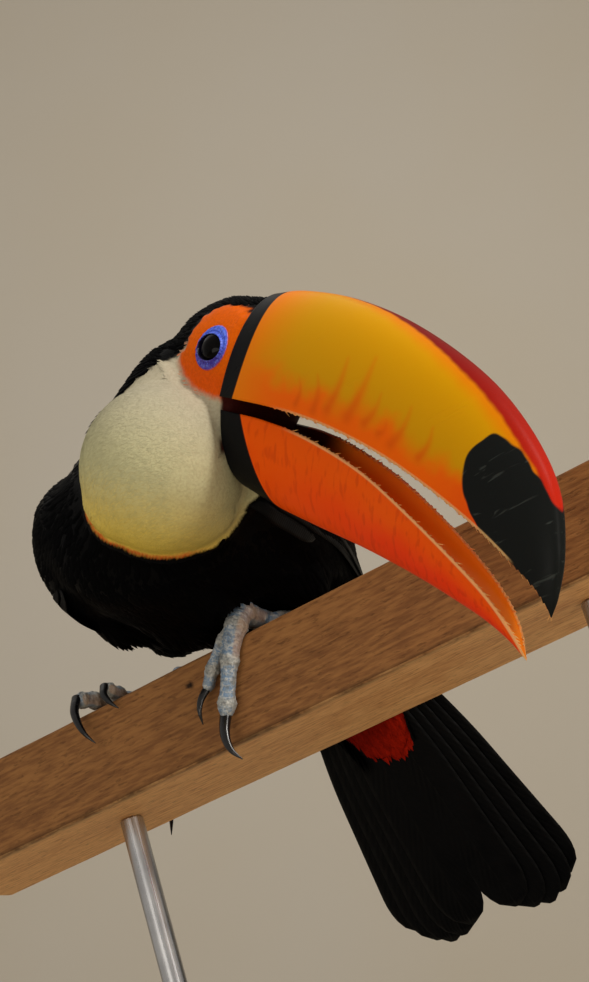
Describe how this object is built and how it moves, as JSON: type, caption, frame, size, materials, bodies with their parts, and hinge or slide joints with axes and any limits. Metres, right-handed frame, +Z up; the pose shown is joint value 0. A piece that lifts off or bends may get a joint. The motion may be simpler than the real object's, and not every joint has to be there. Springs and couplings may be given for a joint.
{
  "type": "toco toucan perched on a timber",
  "caption": "Life-size toucan with a large curved bill held slightly open, crouched on a cut length of square timber on a display stand.",
  "frame": {"origin": "middle of the stand plate's underside, on the surface that the stand rests on", "axes": "+Z up; +X along the timber towards the bird's left; -Y the way the bird's breast faces"},
  "size_m": [0.3762, 0.284, 0.423],
  "materials": {
    "face_skin": "bare orange skin round the eye, black plumage over the crown",
    "bib_feathers": "short, dense cream plumage, yellower below",
    "body_feathers": "glossy black plumage",
    "bill_orange": "waxy horn, golden yellow to red orange, black base band and tip",
    "bill_red": "waxy horn, orange to red, black base band",
    "eye": "wet, nearly black",
    "foot_skin": "scaly blue grey skin",
    "claw_horn": "polished black horn",
    "timber": "weathered brown planed timber",
    "stand_plate": "dark grey satin paint",
    "stand_rod": "brushed"
  },
  "bodies": {
    "root": {"head": "face_skin", "neck": "bib_feathers", "trunk": "body_feathers", "tail_base": "body_feathers", "bill_upper": "bill_orange", "bill_lower": "bill_red", "perch_beam": "timber", "stand_base": "stand_plate", "eye_left": "eye", "wing_left": "body_feathers", "tail_feathers_left": "body_feathers", "thigh_left": "body_feathers", "tarsus_left": "foot_skin", "eye_right": "eye", "wing_right": "body_feathers", "tail_feathers_right": "body_feathers", "thigh_right": "body_feathers", "tarsus_right": "foot_skin", "toe_left_1": "foot_skin", "toe_left_2": "foot_skin", "toe_left_3": "foot_skin", "toe_left_4": "foot_skin", "claw_left_1": "claw_horn", "claw_left_2": "claw_horn", "claw_left_3": "claw_horn", "claw_left_4": "claw_horn", "toe_right_1": "foot_skin", "toe_right_2": "foot_skin", "toe_right_3": "foot_skin", "toe_right_4": "foot_skin", "claw_right_1": "claw_horn", "claw_right_2": "claw_horn", "claw_right_3": "claw_horn", "claw_right_4": "claw_horn", "stand_rod_1": "stand_rod", "stand_rod_2": "stand_rod"}
  },
  "joints": []
}
